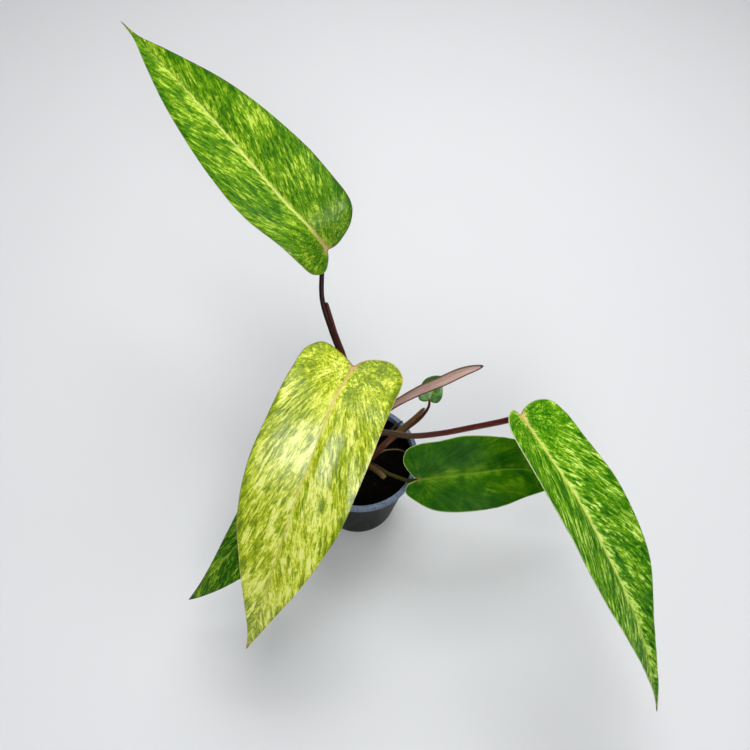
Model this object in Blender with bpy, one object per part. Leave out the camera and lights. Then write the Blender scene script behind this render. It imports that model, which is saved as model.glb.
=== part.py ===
"""Potted variegated philodendron in a small black nursery pot.

Metres, +Z up, origin at the centre of the underside of the pot. The plant's
longest leaf reaches up and back (+Y), two more hang forward (-Y).
All plant dimensions below are given in millimetres.
"""
import math

import bmesh
import bpy
import numpy as np
from mathutils import Vector

MM = 0.001

# ---------------------------------------------------------------- pot
POT_HEIGHT = 86.0
POT_RIM_R = 50.0
POT_MOUTH_R = 46.0
POT_LIP_HEIGHT = 6.0
POT_SHOULDER_R = 46.9       # body just under the lip
POT_BASE_R = 34.0
POT_WALL = 1.5
POT_FLOOR = 1.8
POT_STEPS = 64
DRAIN_HOLES = 8
DRAIN_HOLE_R = 3.2
DRAIN_RING_R = 25.5

# ---------------------------------------------------------------- soil
FIT_GAP = 0.35              # clearance kept between touching pieces
SOIL_TOP = 70.0
SOIL_CROWN = 2.0            # the soil is heaped this much at the stem
STEM_POCKET_DEPTH = 9.0

# ---------------------------------------------------------------- stem
STEM_R = 8.0
STEM_TOP = 88.0

# ---------------------------------------------------------------- leaves
BLADE_THICK = 0.9
EDGE_THICK = 0.6
MIDRIB_DEPTH = 1.3          # extra thickness under the midrib
MIDRIB_HALF_WIDTH = 2.6
CROSS_CURL = 0.006          # droop of the margin, 1/mm
VEIN_ROWS = 30
VEIN_COLS = (0.0, 0.07, 0.3, 0.62, 1.0)

# rib: midrib points from the petiole to the tip; face0/face1: the way the
# upper side looks at the base and at the tip; right/left: half outlines as
# (distance from midrib, distance along midrib), sinus to tip.
LEAVES = {
    "top": dict(
        rib=[(-27, 95, 232), (-40, 100, 250), (-63, 119, 263), (-93, 150, 278), (-125, 185, 290), (-192, 254, 314)],
        face0=(0.42, -0.75, 0.51), face1=(-0.08, -0.39, 0.92), fold=14,
        right=[(6.5, -1), (16.5, 1.5), (26, 6.5), (34.5, 17), (37.5, 36), (39, 64), (35.5, 97.5), (30, 134), (21.5, 167), (10, 203.5), (2, 229.5)],
        left=[(4.5, -6), (12.5, -10.5), (21, -5), (24, 10.5), (26.5, 30.5), (31, 59.5), (31, 92.5), (27, 130.5), (20.5, 167), (10.5, 203), (2.5, 229)]),
    "front": dict(
        rib=[(-6, -3, 221), (-19, -30, 218), (-32, -60, 202), (-47, -93, 173), (-63, -127, 130), (-81, -157, 75)],
        face0=(0.13, -0.17, 0.98), face1=(-0.20, -0.83, 0.52), fold=12,
        right=[(6.5, -2.5), (15.5, -4.5), (27, -4), (34.5, 6.5), (35.5, 26), (37, 53), (38.5, 85.5), (34, 123), (24, 156.5), (12, 190.5), (3.5, 217)],
        left=[(4, -6.5), (12, -12), (23, -14.5), (34, -7.5), (37, 13.5), (38, 42.5), (37.5, 78), (35, 115), (25.5, 152.5), (14, 187.5), (5.5, 217)]),
    "right": dict(
        rib=[(108, -36, 215), (125, -65, 210), (145, -93, 197), (167, -123, 172), (189, -152, 141), (204, -178, 110), (215, -198, 78)],
        face0=(0.35, 0.04, 0.94), face1=(0.52, -0.63, 0.57), fold=17,
        right=[(4, -4.5), (12, -2.5), (19, 6), (23, 20.5), (25, 39), (27, 66), (26.5, 97.5), (23, 132), (17, 167), (7.5, 201.5), (1.5, 227)],
        left=[(6, -3.5), (16, -4.5), (26, 0), (31, 12), (32, 32), (33.5, 60), (33, 94), (28.5, 129.5), (14.5, 163.5), (6, 199), (3, 226)]),
    "low": dict(
        rib=[(48, -31, 104), (73, -29, 108), (97, -27, 111), (121, -24, 111), (153, -23, 107), (187, -22, 96)],
        face0=(-0.10, -0.49, 0.87), face1=(0.27, -0.54, 0.79), fold=12,
        right=[(0.9, -4.5), (3.5, -10), (9, -12), (17, -4.5), (25, 7.5), (28.6, 21), (30, 42), (28, 68), (20.5, 91), (11, 117), (4, 132)],
        left=[(2, -3.5), (6, -6.5), (15.5, -10.5), (24.5, -6.5), (28, 4), (28.4, 20), (30.2, 40), (27, 64), (20, 92), (11, 117), (4, 132)]),
    "rear": dict(
        rib=[(-27, -36, 131), (-45, -51, 128), (-67, -67, 115), (-91, -83, 95), (-114, -99, 70), (-135, -111, 43)],
        face0=(0.09, -0.30, 0.95), face1=(-0.37, -0.70, 0.60), fold=12,
        right=[(2, -4), (9, -9), (18, -7), (24, 4), (25, 22), (23.5, 45), (19.5, 66), (14, 84), (9.5, 101), (5.5, 120), (2, 142)],
        left=[(2, -4), (9, -10), (18, -8), (25, 3), (28.5, 22), (29, 48), (26.5, 76), (22, 98), (16.5, 118), (10, 138), (4.5, 153)]),
    "young": dict(
        rib=[(55, 20, 142), (56.5, 24, 146), (59.6, 29, 151), (63, 34.5, 156)],
        face0=(0.0, -0.60, 0.80), face1=(0.0, -0.50, 0.86), fold=8,
        right=[(1.4, -0.8), (3.8, -1.0), (7.0, 0.2), (8.7, 4.2), (8.2, 9), (5.4, 14.5), (2.4, 18.8)],
        left=[(1.4, -1.2), (4.4, -2.2), (8.2, -1.4), (10.2, 3), (10.6, 9.5), (9.2, 15), (4.4, 19.6)]),
}

# petiole centre lines as (x, y, z, radius); the last point lies just under
# the place where the blade is attached.
PETIOLES = {
    "top": [(-3, 4.4, 90.4, 3.4), (-4.5, 12, 105, 3.4), (-8, 27, 126, 3.2), (-14, 46, 157, 3.1), (-22.8, 61, 175.5, 3.0), (-31.2, 76.7, 195.6, 2.2), (-31.8, 88, 211, 2.1), (-30.6, 96.3, 222.5, 2.0), (-28.8, 98.4, 228.8, 1.8)],
    "front": [(-1, -4.8, 88.9, 3.4), (0, -4.5, 110, 3.1), (0, -4, 140, 2.7), (-1, -3, 177, 2.4), (-4, -2.5, 205, 2.2), (-6, -2.5, 217.6, 2.0)],
    "right": [(4.8, 1.4, 89.2, 3.3), (6.5, 2.2, 110, 3.0), (18, -1.5, 126.5, 2.6), (38, -14, 144, 2.4), (59, -23.4, 165.3, 2.2), (80, -30.4, 187.2, 2.2), (98, -34.9, 203.8, 2.1), (106.2, -36, 210.8, 1.9)],
    "low": [(9, -1.5, 75.6, 1.5), (14.2, -4, 74.2, 1.6), (19.9, -7.7, 74.2, 1.6), (24.5, -11.9, 76, 1.6), (30.2, -17.8, 82, 1.6), (34.1, -21.7, 86, 1.5), (38.7, -26.6, 91, 1.5), (43.2, -29.6, 95.5, 1.5), (46.6, -30.2, 99.4, 1.4)],
    "rear": [(-7.4, -6.3, 84, 2.6), (-11, -12, 97, 2.3), (-16, -21, 112, 2.1), (-22, -30, 122, 2.0), (-26.6, -34.9, 127.0, 1.8)],
    "young": [(10.6, 0.6, 80, 2.8), (17.4, 2.5, 92, 2.8), (24.5, 5.5, 101, 2.8), (35, 10, 112, 2.8), (46, 13.5, 124.5, 2.3), (51.5, 15.5, 132, 1.2), (54.6, 17.6, 137, 1.0), (55.1, 19.6, 139.9, 0.9)],
}

CATAPHYLL = dict(
    rib=[(3.5, 10.5, 84), (6, 12.5, 104), (13, 14, 123), (26, 17, 139), (45, 21, 154), (62, 22, 167), (78, 24, 178), (92, 24, 186)],
    face0=(-0.3, -0.95, 0.1), face1=(-0.15, -0.55, 0.82), fold=16,
    right=[(3.4, 0.2), (3.6, 14), (3.2, 34), (2.9, 52), (3.1, 66), (3.8, 85), (4.2, 105), (4.0, 121), (3.2, 131.5), (2.2, 138), (1.1, 141.8)],
    left=[(3.4, 0.2), (3.6, 14), (3.2, 34), (2.9, 52), (3.1, 66), (3.8, 85), (4.2, 105), (4.0, 121), (3.2, 131.5), (2.2, 138), (1.1, 141.8)])
CATAPHYLL_THICK = 1.1

CUT_STUB = [(8.4, -5.6, 78.0, 3.0), (12.8, -8.8, 78.6, 2.9), (18, -13.2, 78.5, 2.8), (22.1, -17.3, 78, 2.8)]
AERIAL_ROOT = [(8.9, 1.4, 76, 0.7), (13, 2.6, 77, 0.6), (17, 5, 79, 0.6), (22.2, 7.3, 81, 0.6), (28.1, 7.7, 82, 0.6), (33.2, 8.3, 81, 0.6), (38, 8.8, 77.5, 0.6), (41.2, 9.3, 72.2, 0.6)]
DRY_SCRAP = [(24, 19.5, 72.6, 0.9), (26.5, 22.5, 80, 1.3), (29, 25.5, 87.6, 1.5), (33.2, 27.9, 90, 1.2), (36.8, 30.4, 91.5, 0.8)]
TUBE_SIDES_RES = 2


# ---------------------------------------------------------------- helpers
def unit(v):
    return v / np.maximum(np.linalg.norm(v, axis=-1, keepdims=True), 1e-12)


def through(points, per_span):
    """Centripetal Catmull-Rom line through the points."""
    p = np.asarray(points, float)
    p = np.vstack([2 * p[0] - p[1], p, 2 * p[-1] - p[-2]])
    out = []
    for i in range(1, len(p) - 2):
        a, b, c, d = p[i - 1:i + 3]
        k = [max(float(np.linalg.norm((v - u)[:3])), 1e-9) ** 0.5 for u, v in ((a, b), (b, c), (c, d))]
        t0, t1, t2, t3 = 0.0, k[0], k[0] + k[1], k[0] + k[1] + k[2]
        for t in np.linspace(t1, t2, per_span, endpoint=(i == len(p) - 3)):
            a1 = (t1 - t) / (t1 - t0) * a + (t - t0) / (t1 - t0) * b
            a2 = (t2 - t) / (t2 - t1) * b + (t - t1) / (t2 - t1) * c
            a3 = (t3 - t) / (t3 - t2) * c + (t - t2) / (t3 - t2) * d
            b1 = (t2 - t) / (t2 - t0) * a1 + (t - t0) / (t2 - t0) * a2
            b2 = (t3 - t) / (t3 - t1) * a2 + (t - t1) / (t3 - t1) * a3
            out.append((t2 - t) / (t2 - t1) * b1 + (t - t1) / (t2 - t1) * b2)
    return np.array(out)


def run_length(p):
    return np.concatenate([[0.0], np.cumsum(np.linalg.norm(np.diff(p, axis=0), axis=1))])


class Midrib:
    def __init__(self, rib, face0, face1):
        self.p = through(rib, 40)
        self.s = run_length(self.p)
        self.length = self.s[-1]
        self.t = unit(np.gradient(self.p, self.s, axis=0))
        self.f0, self.f1 = np.array(face0), np.array(face1)

    def at(self, y):
        y = np.asarray(y, float)
        yc = np.clip(y, 0, self.length)
        c = np.stack([np.interp(yc, self.s, self.p[:, k]) for k in range(3)], -1)
        t = unit(np.stack([np.interp(yc, self.s, self.t[:, k]) for k in range(3)], -1))
        c = c + (y - yc)[..., None] * t
        w = (yc / self.length)[..., None]
        f = self.f0 * (1 - w) + self.f1 * w
        n = unit(f - (f * t).sum(-1, keepdims=True) * t)
        return c, t, n, np.cross(t, n)


def edge_points(outline, length, rows):
    """Flat (x, y) points spaced along the margin, sinus to tip."""
    edge = through([(0, 0)] + list(outline) + [(0, length)], 24)
    s = run_length(edge)
    u = np.linspace(0, 1, rows + 1)
    u = u - 0.10 * np.sin(2 * math.pi * u) / (2 * math.pi)
    return np.stack([np.interp(u * s[-1], s, edge[:, k]) for k in range(2)], 1)


def vein_starts(edges, length):
    """Where each side vein leaves the midrib; shared by both halves."""
    y0 = sum(e[:, 1] - 0.75 * e[:, 0] for e in edges) / len(edges)
    soft = 0.03 * length
    y0 = soft * (np.logaddexp(0, y0 / soft) - math.log(2) * np.exp(-np.maximum(y0, 0) / soft))
    y0 = np.clip(y0, 0, length)
    y0[0], y0[-1] = 0.0, length
    return np.maximum.accumulate(y0)


def half_grid(e, y0, cols):
    """Flat (x, y) points of one half blade, along the side veins."""
    g = np.empty((len(e), len(cols), 2))
    for j, t in enumerate(cols):
        cx, cy = 0.6 * e[:, 0], y0 + 0.38 * (e[:, 1] - y0)
        g[:, j, 0] = 2 * t * (1 - t) * cx + t * t * e[:, 0]
        g[:, j, 1] = (1 - t) ** 2 * y0 + 2 * t * (1 - t) * cy + t * t * e[:, 1]
    return g


def blade_points(mid, x, y, fold, curl):
    c, t, n, b = mid.at(y)
    ax = np.abs(x)
    h = ax * math.tan(math.radians(fold)) - 0.5 * curl * ax * ax
    return c + x[..., None] * b + h[..., None] * n, n


def new_mesh(name, verts, faces):
    mesh = bpy.data.meshes.new(name)
    mesh.from_pydata([tuple(v) for v in verts], [], faces)
    bm = bmesh.new()
    bm.from_mesh(mesh)
    bmesh.ops.remove_doubles(bm, verts=bm.verts, dist=2e-6)
    bmesh.ops.dissolve_degenerate(bm, edges=bm.edges, dist=2e-6)
    bmesh.ops.recalc_face_normals(bm, faces=bm.faces)
    bm.to_mesh(mesh)
    bm.free()
    return mesh


def make_blade(name, leaf, rows, thick, edge_thick, rib_depth, material, curl=CROSS_CURL):
    mid = Midrib(leaf["rib"], leaf["face0"], leaf["face1"])
    verts, faces = [], []
    edges = [edge_points(leaf[k], mid.length, rows) for k in ("right", "left")]
    starts = vein_starts(edges, mid.length)
    for side, e in zip((1, -1), edges):
        g = half_grid(e, starts, VEIN_COLS)
        x, y = g[..., 0] * side, g[..., 1]
        top, n = blade_points(mid, x, y, leaf["fold"], curl)
        ax = np.abs(x)
        half = np.max(g[:, -1, 0])
        fade = np.clip(1.15 - y / mid.length, 0.12, 1.0)
        th = edge_thick + (thick - edge_thick) * (1 - np.clip(ax / half, 0, 1) ** 2)
        th = th + rib_depth * fade * np.clip(1 - ax / MIDRIB_HALF_WIDTH, 0, 1)
        low = top - n * th[..., None]
        base = len(verts)
        r, c = top.shape[:2]
        verts.extend((top.reshape(-1, 3) * MM).tolist())
        verts.extend((low.reshape(-1, 3) * MM).tolist())
        def at(i, j, under=0):
            return base + under * r * c + i * c + j
        for i in range(r - 1):
            for j in range(c - 1):
                q = [at(i, j), at(i, j + 1), at(i + 1, j + 1), at(i + 1, j)]
                u = [at(i, j, 1), at(i + 1, j, 1), at(i + 1, j + 1, 1), at(i, j + 1, 1)]
                faces.append(q if side < 0 else q[::-1])
                faces.append(u if side < 0 else u[::-1])
            m = [at(i, c - 1), at(i, c - 1, 1), at(i + 1, c - 1, 1), at(i + 1, c - 1)]
            faces.append(m if side < 0 else m[::-1])
    obj = bpy.data.objects.new(name, new_mesh(name, verts, faces))
    return finish(obj, material)


def make_tube(name, points, material, per_span=5):
    line = through(points, per_span)
    curve = bpy.data.curves.new(name, "CURVE")
    curve.dimensions = "3D"
    curve.bevel_depth = MM
    curve.bevel_resolution = TUBE_SIDES_RES
    curve.render_resolution_u = 0
    curve.use_fill_caps = True
    spline = curve.splines.new("POLY")
    spline.points.add(len(line) - 1)
    for pt, (x, y, z, r) in zip(spline.points, line):
        pt.co = (x * MM, y * MM, z * MM, 1.0)
        pt.radius = float(r)
    temp = bpy.data.objects.new(name + "_line", curve)
    PART.objects.link(temp)
    deps = bpy.context.evaluated_depsgraph_get()
    mesh = bpy.data.meshes.new_from_object(temp.evaluated_get(deps))
    bpy.data.objects.remove(temp, do_unlink=True)
    bm = bmesh.new()
    bm.from_mesh(mesh)
    bmesh.ops.remove_doubles(bm, verts=bm.verts, dist=2e-6)
    bmesh.ops.recalc_face_normals(bm, faces=bm.faces)
    bm.to_mesh(mesh)
    bm.free()
    mesh.name = name
    return finish(bpy.data.objects.new(name, mesh), material)


def revolve(name, profile, steps, material):
    """Solid of revolution from an (r, z) profile in millimetres."""
    verts, rings = [], []
    for r, z in profile:
        if r < 1e-6:
            rings.append([len(verts)])
            verts.append((0, 0, z * MM))
        else:
            rings.append(list(range(len(verts), len(verts) + steps)))
            for k in range(steps):
                a = 2 * math.pi * k / steps
                verts.append((r * MM * math.cos(a), r * MM * math.sin(a), z * MM))
    faces = []
    for a, b in zip(rings, rings[1:]):
        for k in range(steps):
            n = (k + 1) % steps
            if len(a) == 1:
                faces.append([a[0], b[k], b[n]])
            elif len(b) == 1:
                faces.append([a[k], b[0], a[n]])
            else:
                faces.append([a[k], b[k], b[n], a[n]])
    return finish(bpy.data.objects.new(name, new_mesh(name, verts, faces)), material)


def finish(obj, material):
    PART.objects.link(obj)
    obj.data.materials.clear()
    obj.data.materials.append(material)
    return obj


def material(name, colour, rough, metallic=0.0):
    m = bpy.data.materials.new(name)
    m.use_nodes = True
    s = next(n for n in m.node_tree.nodes if n.type == "BSDF_PRINCIPLED")
    s.inputs["Base Color"].default_value = (*colour, 1)
    s.inputs["Roughness"].default_value = rough
    s.inputs["Metallic"].default_value = metallic
    m.diffuse_color = (*colour, 1)
    return m


# ---------------------------------------------------------------- build
for o in list(bpy.data.objects):
    bpy.data.objects.remove(o, do_unlink=True)

PART = bpy.data.collections.new("potted_philodendron")
bpy.context.scene.collection.children.link(PART)
CUTTERS = bpy.data.collections.new("cutters")
bpy.context.scene.collection.children.link(CUTTERS)

black = material("black_plastic", (0.012, 0.012, 0.014), 0.35)
mix = material("potting_mix", (0.018, 0.012, 0.008), 0.95)
bark = material("stem_skin", (0.13, 0.10, 0.045), 0.6)
maroon = material("petiole_red", (0.16, 0.035, 0.03), 0.45)
olive = material("petiole_olive", (0.16, 0.14, 0.045), 0.5)
leaf_lime = material("leaf_lime", (0.46, 0.56, 0.05), 0.35)
leaf_green = material("leaf_green", (0.10, 0.30, 0.02), 0.35)
leaf_dark = material("leaf_dark", (0.03, 0.16, 0.01), 0.35)
pink = material("cataphyll_pink", (0.36, 0.17, 0.13), 0.5)
dry = material("dry_brown", (0.07, 0.045, 0.025), 0.9)


def outer_r(z):
    return POT_BASE_R + (POT_SHOULDER_R - POT_BASE_R) * z / (POT_HEIGHT - POT_LIP_HEIGHT)


def inner_r(z):
    return outer_r(min(z, POT_HEIGHT - POT_LIP_HEIGHT)) - POT_WALL


lip_z = POT_HEIGHT - POT_LIP_HEIGHT
pot = revolve("nursery_pot", [
    (0, POT_FLOOR), (inner_r(POT_FLOOR), POT_FLOOR), (inner_r(lip_z), lip_z),
    (POT_MOUTH_R - 0.1, POT_HEIGHT - 0.6), (POT_MOUTH_R + 0.5, POT_HEIGHT),
    (POT_RIM_R - 0.8, POT_HEIGHT), (POT_RIM_R, POT_HEIGHT - 0.8),
    (POT_RIM_R - 0.4, lip_z), (POT_SHOULDER_R, lip_z),
    (outer_r(2.0), 2.0), (POT_BASE_R - 1.2, 0), (0, 0)], POT_STEPS, black)
for k in range(DRAIN_HOLES):
    a = 2 * math.pi * (k + 0.5) / DRAIN_HOLES
    bm = bmesh.new()
    bmesh.ops.create_cone(bm, cap_ends=True, segments=20, radius1=DRAIN_HOLE_R * MM,
                          radius2=DRAIN_HOLE_R * MM, depth=3 * POT_FLOOR * MM)
    mesh = bpy.data.meshes.new("drain_%d" % k)
    bm.to_mesh(mesh)
    bm.free()
    cut = bpy.data.objects.new("drain_%d" % k, mesh)
    cut.location = (DRAIN_RING_R * MM * math.cos(a), DRAIN_RING_R * MM * math.sin(a), POT_FLOOR * MM / 2)
    cut.hide_render = True
    cut.display_type = "WIRE"
    CUTTERS.objects.link(cut)
    mod = pot.modifiers.new("drain_%d" % k, "BOOLEAN")
    mod.operation = "DIFFERENCE"
    mod.solver = "EXACT"
    mod.object = cut

soil_floor = POT_FLOOR + FIT_GAP
pocket_r = STEM_R + FIT_GAP
heap = SOIL_TOP + SOIL_CROWN
revolve("potting_soil", [
    (0, heap - STEM_POCKET_DEPTH), (pocket_r, heap - STEM_POCKET_DEPTH), (pocket_r, heap),
    (16, SOIL_TOP + 1.2), (24, SOIL_TOP + 0.4), (33, SOIL_TOP + 0.6), (40, SOIL_TOP - 0.2),
    (inner_r(SOIL_TOP) - FIT_GAP, SOIL_TOP - 0.9),
    (inner_r(soil_floor) - FIT_GAP - 0.1, soil_floor), (0, soil_floor)], 48, mix)

stem_foot = heap - STEM_POCKET_DEPTH + FIT_GAP
revolve("main_stem", [
    (0, STEM_TOP), (STEM_R - 1.2, STEM_TOP), (STEM_R - 0.2, STEM_TOP - 1.0),
    (STEM_R - 0.6, STEM_TOP - 5), (STEM_R, STEM_TOP - 7), (STEM_R - 0.6, STEM_TOP - 9),
    (STEM_R - 0.2, heap + 1), (STEM_R - 1.0, stem_foot + 1.5), (STEM_R - 2.5, stem_foot), (0, stem_foot)],
    28, bark)

for key, skin in (("top", leaf_green), ("front", leaf_lime), ("right", leaf_green),
                  ("low", leaf_dark), ("rear", leaf_green), ("young", leaf_dark)):
    small = key == "young"
    make_blade("leaf_" + key, LEAVES[key], 14 if small else VEIN_ROWS,
               0.7 if small else BLADE_THICK, 0.5 if small else EDGE_THICK,
               0.4 if small else MIDRIB_DEPTH, skin)

for key, skin in (("top", maroon), ("front", maroon), ("right", maroon),
                  ("low", olive), ("rear", maroon), ("young", olive)):
    make_tube("petiole_" + key, PETIOLES[key], skin)

make_blade("cataphyll", CATAPHYLL, 22, CATAPHYLL_THICK, 0.7, 0.0, pink, curl=-0.02)
make_tube("cut_petiole_stub", CUT_STUB, olive)
make_tube("aerial_root", AERIAL_ROOT, dry)
make_tube("dry_scrap", DRY_SCRAP, dry)
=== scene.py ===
"""Looks for the potted variegated philodendron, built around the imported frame.

Plant dimensions are in millimetres in the row frame, as in the CAD part.
"""
import math

import bmesh
import bpy
import numpy as np
from mathutils import Matrix, Vector


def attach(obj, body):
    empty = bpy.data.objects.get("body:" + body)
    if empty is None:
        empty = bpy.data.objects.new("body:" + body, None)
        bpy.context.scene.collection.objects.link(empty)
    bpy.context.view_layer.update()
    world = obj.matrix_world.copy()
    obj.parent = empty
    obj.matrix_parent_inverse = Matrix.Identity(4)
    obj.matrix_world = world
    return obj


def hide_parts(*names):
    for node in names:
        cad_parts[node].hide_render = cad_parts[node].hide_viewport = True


MM = 0.001
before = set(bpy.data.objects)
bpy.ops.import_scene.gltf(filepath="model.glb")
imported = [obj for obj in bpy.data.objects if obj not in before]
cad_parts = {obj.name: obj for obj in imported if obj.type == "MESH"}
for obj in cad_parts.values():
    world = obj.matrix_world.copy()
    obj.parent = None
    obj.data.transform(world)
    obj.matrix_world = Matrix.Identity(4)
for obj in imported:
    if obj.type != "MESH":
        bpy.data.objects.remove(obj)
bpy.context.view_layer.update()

# ================================================================ dimensions
POT_HEIGHT, POT_RIM_R, POT_MOUTH_R, POT_LIP_HEIGHT = 86.0, 50.0, 46.0, 6.0
POT_SHOULDER_R, POT_BASE_R, POT_WALL, POT_FLOOR = 46.9, 34.0, 1.5, 1.8
DRAIN_HOLES, DRAIN_HOLE_R, DRAIN_RING_R = 8, 3.2, 25.5
FIT_GAP, SOIL_TOP, SOIL_CROWN = 0.35, 70.0, 2.0
STEM_R, STEM_TOP = 8.0, 88.0
BLADE_THICK, EDGE_THICK, MIDRIB_DEPTH = 0.9, 0.6, 1.3
CROSS_CURL = 0.006

LEAVES = {
    "top": dict(
        rib=[(-27, 95, 232), (-40, 100, 250), (-63, 119, 263), (-93, 150, 278), (-125, 185, 290), (-192, 254, 314)],
        face0=(0.42, -0.75, 0.51), face1=(-0.08, -0.39, 0.92), fold=14,
        right=[(6.5, -1), (16.5, 1.5), (26, 6.5), (34.5, 17), (37.5, 36), (39, 64), (35.5, 97.5), (30, 134), (21.5, 167), (10, 203.5), (2, 229.5)],
        left=[(4.5, -6), (12.5, -10.5), (21, -5), (24, 10.5), (26.5, 30.5), (31, 59.5), (31, 92.5), (27, 130.5), (20.5, 167), (10.5, 203), (2.5, 229)]),
    "front": dict(
        rib=[(-6, -3, 221), (-19, -30, 218), (-32, -60, 202), (-47, -93, 173), (-63, -127, 130), (-81, -157, 75)],
        face0=(0.13, -0.17, 0.98), face1=(-0.20, -0.83, 0.52), fold=12,
        right=[(6.5, -2.5), (15.5, -4.5), (27, -4), (34.5, 6.5), (35.5, 26), (37, 53), (38.5, 85.5), (34, 123), (24, 156.5), (12, 190.5), (3.5, 217)],
        left=[(4, -6.5), (12, -12), (23, -14.5), (34, -7.5), (37, 13.5), (38, 42.5), (37.5, 78), (35, 115), (25.5, 152.5), (14, 187.5), (5.5, 217)]),
    "right": dict(
        rib=[(108, -36, 215), (125, -65, 210), (145, -93, 197), (167, -123, 172), (189, -152, 141), (204, -178, 110), (215, -198, 78)],
        face0=(0.35, 0.04, 0.94), face1=(0.52, -0.63, 0.57), fold=17,
        right=[(4, -4.5), (12, -2.5), (19, 6), (23, 20.5), (25, 39), (27, 66), (26.5, 97.5), (23, 132), (17, 167), (7.5, 201.5), (1.5, 227)],
        left=[(6, -3.5), (16, -4.5), (26, 0), (31, 12), (32, 32), (33.5, 60), (33, 94), (28.5, 129.5), (14.5, 163.5), (6, 199), (3, 226)]),
    "low": dict(
        rib=[(48, -31, 104), (73, -29, 108), (97, -27, 111), (121, -24, 111), (153, -23, 107), (187, -22, 96)],
        face0=(-0.10, -0.49, 0.87), face1=(0.27, -0.54, 0.79), fold=12,
        right=[(0.9, -4.5), (3.5, -10), (9, -12), (17, -4.5), (25, 7.5), (28.6, 21), (30, 42), (28, 68), (20.5, 91), (11, 117), (4, 132)],
        left=[(2, -3.5), (6, -6.5), (15.5, -10.5), (24.5, -6.5), (28, 4), (28.4, 20), (30.2, 40), (27, 64), (20, 92), (11, 117), (4, 132)]),
    "rear": dict(
        rib=[(-27, -36, 131), (-45, -51, 128), (-67, -67, 115), (-91, -83, 95), (-114, -99, 70), (-135, -111, 43)],
        face0=(0.09, -0.30, 0.95), face1=(-0.37, -0.70, 0.60), fold=12,
        right=[(2, -4), (9, -9), (18, -7), (24, 4), (25, 22), (23.5, 45), (19.5, 66), (14, 84), (9.5, 101), (5.5, 120), (2, 142)],
        left=[(2, -4), (9, -10), (18, -8), (25, 3), (28.5, 22), (29, 48), (26.5, 76), (22, 98), (16.5, 118), (10, 138), (4.5, 153)]),
    "young": dict(
        rib=[(55, 20, 142), (56.5, 24, 146), (59.6, 29, 151), (63, 34.5, 156)],
        face0=(0.0, -0.60, 0.80), face1=(0.0, -0.50, 0.86), fold=8,
        right=[(1.4, -0.8), (3.8, -1.0), (7.0, 0.2), (8.7, 4.2), (8.2, 9), (5.4, 14.5), (2.4, 18.8)],
        left=[(1.4, -1.2), (4.4, -2.2), (8.2, -1.4), (10.2, 3), (10.6, 9.5), (9.2, 15), (4.4, 19.6)]),
}

PETIOLES = {
    "top": [(-3, 4.4, 90.4, 3.4), (-4.5, 12, 105, 3.4), (-8, 27, 126, 3.2), (-14, 46, 157, 3.1), (-22.8, 61, 175.5, 3.0), (-31.2, 76.7, 195.6, 2.2), (-31.8, 88, 211, 2.1), (-30.6, 96.3, 222.5, 2.0), (-28.8, 98.4, 228.8, 1.8)],
    "front": [(-1, -4.8, 88.9, 3.4), (0, -4.5, 110, 3.1), (0, -4, 140, 2.7), (-1, -3, 177, 2.4), (-4, -2.5, 205, 2.2), (-6, -2.5, 217.6, 2.0)],
    "right": [(4.8, 1.4, 89.2, 3.3), (6.5, 2.2, 110, 3.0), (18, -1.5, 126.5, 2.6), (38, -14, 144, 2.4), (59, -23.4, 165.3, 2.2), (80, -30.4, 187.2, 2.2), (98, -34.9, 203.8, 2.1), (106.2, -36, 210.8, 1.9)],
    "low": [(9, -1.5, 75.6, 1.5), (14.2, -4, 74.2, 1.6), (19.9, -7.7, 74.2, 1.6), (24.5, -11.9, 76, 1.6), (30.2, -17.8, 82, 1.6), (34.1, -21.7, 86, 1.5), (38.7, -26.6, 91, 1.5), (43.2, -29.6, 95.5, 1.5), (46.6, -30.2, 99.4, 1.4)],
    "rear": [(-7.4, -6.3, 84, 2.6), (-11, -12, 97, 2.3), (-16, -21, 112, 2.1), (-22, -30, 122, 2.0), (-26.6, -34.9, 127.0, 1.8)],
    "young": [(10.6, 0.6, 80, 2.8), (17.4, 2.5, 92, 2.8), (24.5, 5.5, 101, 2.8), (35, 10, 112, 2.8), (46, 13.5, 124.5, 2.3), (51.5, 15.5, 132, 1.2), (54.6, 17.6, 137, 1.0), (55.1, 19.6, 139.9, 0.9)],
}

CATAPHYLL = dict(
    rib=[(3.5, 10.5, 84), (6, 12.5, 104), (13, 14, 123), (26, 17, 139), (45, 21, 154), (62, 22, 167), (78, 24, 178), (92, 24, 186)],
    face0=(-0.3, -0.95, 0.1), face1=(-0.15, -0.55, 0.82), fold=16,
    right=[(3.4, 0.2), (3.6, 14), (3.2, 34), (2.9, 52), (3.1, 66), (3.8, 85), (4.2, 105), (4.0, 121), (3.2, 131.5), (2.2, 138), (1.1, 141.8)],
    left=[(3.4, 0.2), (3.6, 14), (3.2, 34), (2.9, 52), (3.1, 66), (3.8, 85), (4.2, 105), (4.0, 121), (3.2, 131.5), (2.2, 138), (1.1, 141.8)])
CUT_STUB = [(8.4, -5.6, 78.0, 3.0), (12.8, -8.8, 78.6, 2.9), (18, -13.2, 78.5, 2.8), (22.1, -17.3, 78, 2.8)]
AERIAL_ROOT = [(8.9, 1.4, 76, 0.7), (13, 2.6, 77, 0.6), (17, 5, 79, 0.6), (22.2, 7.3, 81, 0.6), (28.1, 7.7, 82, 0.6), (33.2, 8.3, 81, 0.6), (38, 8.8, 77.5, 0.6), (41.2, 9.3, 72.2, 0.6)]
DRY_SCRAP = [(24, 19.5, 72.6, 0.9), (26.5, 22.5, 80, 1.3), (29, 25.5, 87.6, 1.5), (33.2, 27.9, 90, 1.2), (36.8, 30.4, 91.5, 0.8)]

PIECES = bpy.data.collections.new("pieces")
bpy.context.scene.collection.children.link(PIECES)


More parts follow.
